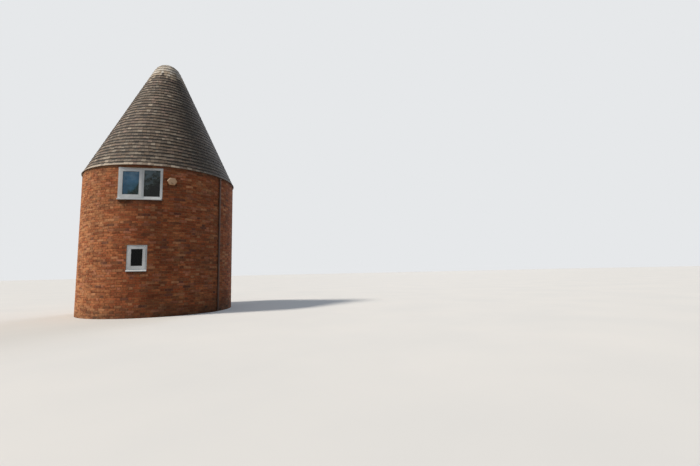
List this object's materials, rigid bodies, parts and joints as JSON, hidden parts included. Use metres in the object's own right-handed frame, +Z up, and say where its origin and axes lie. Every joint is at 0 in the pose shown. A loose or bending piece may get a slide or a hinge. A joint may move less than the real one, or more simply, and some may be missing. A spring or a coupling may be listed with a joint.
{
  "type": "round oast house kiln",
  "caption": "A round brick hop kiln of two storeys under a steep conical shingled roof with a rounded crown, with white casement windows, an upper floor and a plank door.",
  "frame": {"origin": "centre of the round wall at ground level", "axes": "+Z up; -Y is the front, with the two windows; +X is to the right of the front"},
  "size_m": [4.8822, 4.8822, 9.1345],
  "materials": {
    "brickwork": "matte fired clay brick in lime mortar",
    "roof_timber": "sawn softwood",
    "shingles": "weathered split timber shingles",
    "pale_shingles": "bleached timber shingles",
    "cap_sheet": "dull pale sheet",
    "white_frames": "semi-gloss white",
    "window_glass": "clear sealed units",
    "weathered_oak": "weathered oak",
    "black_iron": "black painted iron",
    "cream_housing": "sun-yellowed cream plastic",
    "brown_pipe": "dark brown plastic"
  },
  "bodies": {
    "root": {"front_wall": "brickwork", "front_right_wall": "brickwork", "right_wall": "brickwork", "back_right_wall": "brickwork", "back_wall": "brickwork", "back_left_wall": "brickwork", "left_wall": "brickwork", "front_left_wall": "brickwork", "ground_floor": "brickwork", "floor_joists": "roof_timber", "floor_boards": "roof_timber", "wall_plate": "roof_timber", "rafters": "roof_timber", "battens": "roof_timber", "roof_kerb": "roof_timber", "front_roof": "shingles", "front_right_roof": "shingles", "right_roof": "shingles", "back_right_roof": "shingles", "back_roof": "shingles", "back_left_roof": "shingles", "left_roof": "shingles", "front_left_roof": "shingles", "crown_courses": "pale_shingles", "crown_cap": "cap_sheet", "upper_window_lintel": "weathered_oak", "upper_window_frame": "white_frames", "upper_window_casement": "white_frames", "upper_casement_glass": "window_glass", "upper_fixed_glass": "window_glass", "upper_window_sill": "white_frames", "lower_window_lintel": "weathered_oak", "lower_window_frame": "white_frames", "lower_window_casement": "white_frames", "lower_casement_glass": "window_glass", "lower_window_sill": "white_frames", "door_lintel": "weathered_oak", "door_frame": "weathered_oak", "door_planks": "weathered_oak", "door_ironwork": "black_iron", "alarm_box_base": "cream_housing", "alarm_box_cover": "cream_housing", "wall_pipe": "brown_pipe", "pipe_clips": "brown_pipe"}
  },
  "joints": []
}
